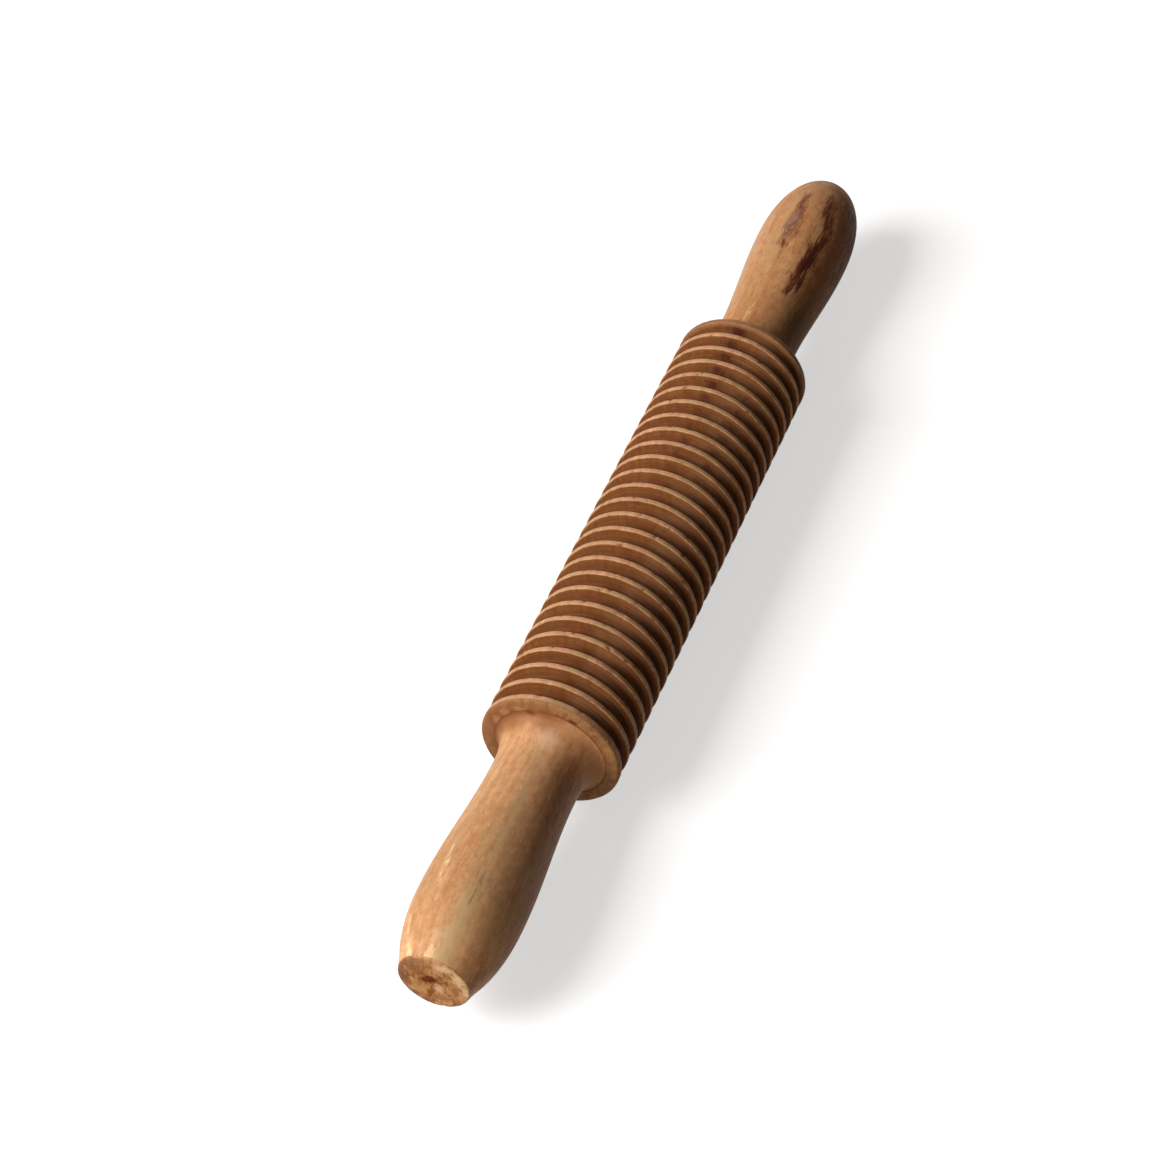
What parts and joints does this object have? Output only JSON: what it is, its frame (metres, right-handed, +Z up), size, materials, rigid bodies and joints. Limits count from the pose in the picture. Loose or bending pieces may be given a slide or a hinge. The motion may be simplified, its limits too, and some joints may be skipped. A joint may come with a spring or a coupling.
{
  "type": "pasta cutter rolling pin",
  "caption": "Ribbed wooden rolling pin that cuts a dough sheet into flat ribbons; the barrel turns on a steel axle between two turned wooden handles.",
  "frame": {"origin": "on the floor under the middle rib: the flat facet at the bottom of the middle rib's land, halfway along the barrel", "axes": "+X along the axle, from the flat-ended left handle to the domed right handle; +Z up, away from the table; +Y across the pin"},
  "size_m": [0.358, 0.0448, 0.0448],
  "materials": {
    "barrel_wood": "turned and oiled, darker and redder than the handles, fine tool marks in the grooves",
    "handle_wood": "turned, sanded smooth and oiled, satin from use",
    "plug_wood": "end grain, sawn and lightly sanded",
    "nylon": "natural nylon, as moulded",
    "steel": "turned bright bar, light oil",
    "brass": "machined"
  },
  "bodies": {
    "barrel": {"ribbed_barrel": "barrel_wood", "left_bush": "nylon", "right_bush": "nylon"},
    "handles": {"axle_rod": "steel", "left_handle": "handle_wood", "right_handle": "handle_wood", "end_plug": "plug_wood", "left_thrust_washer": "steel", "right_thrust_washer": "steel", "threaded_insert": "brass", "nut_washer": "steel", "axle_nut": "steel"}
  },
  "joints": [
    {"name": "barrel_spin", "type": "hinge", "parent": "barrel", "child": "handles", "pos_m": [0, 0, 0.02239], "axis": [1, 0, 0], "continuous": true}
  ]
}
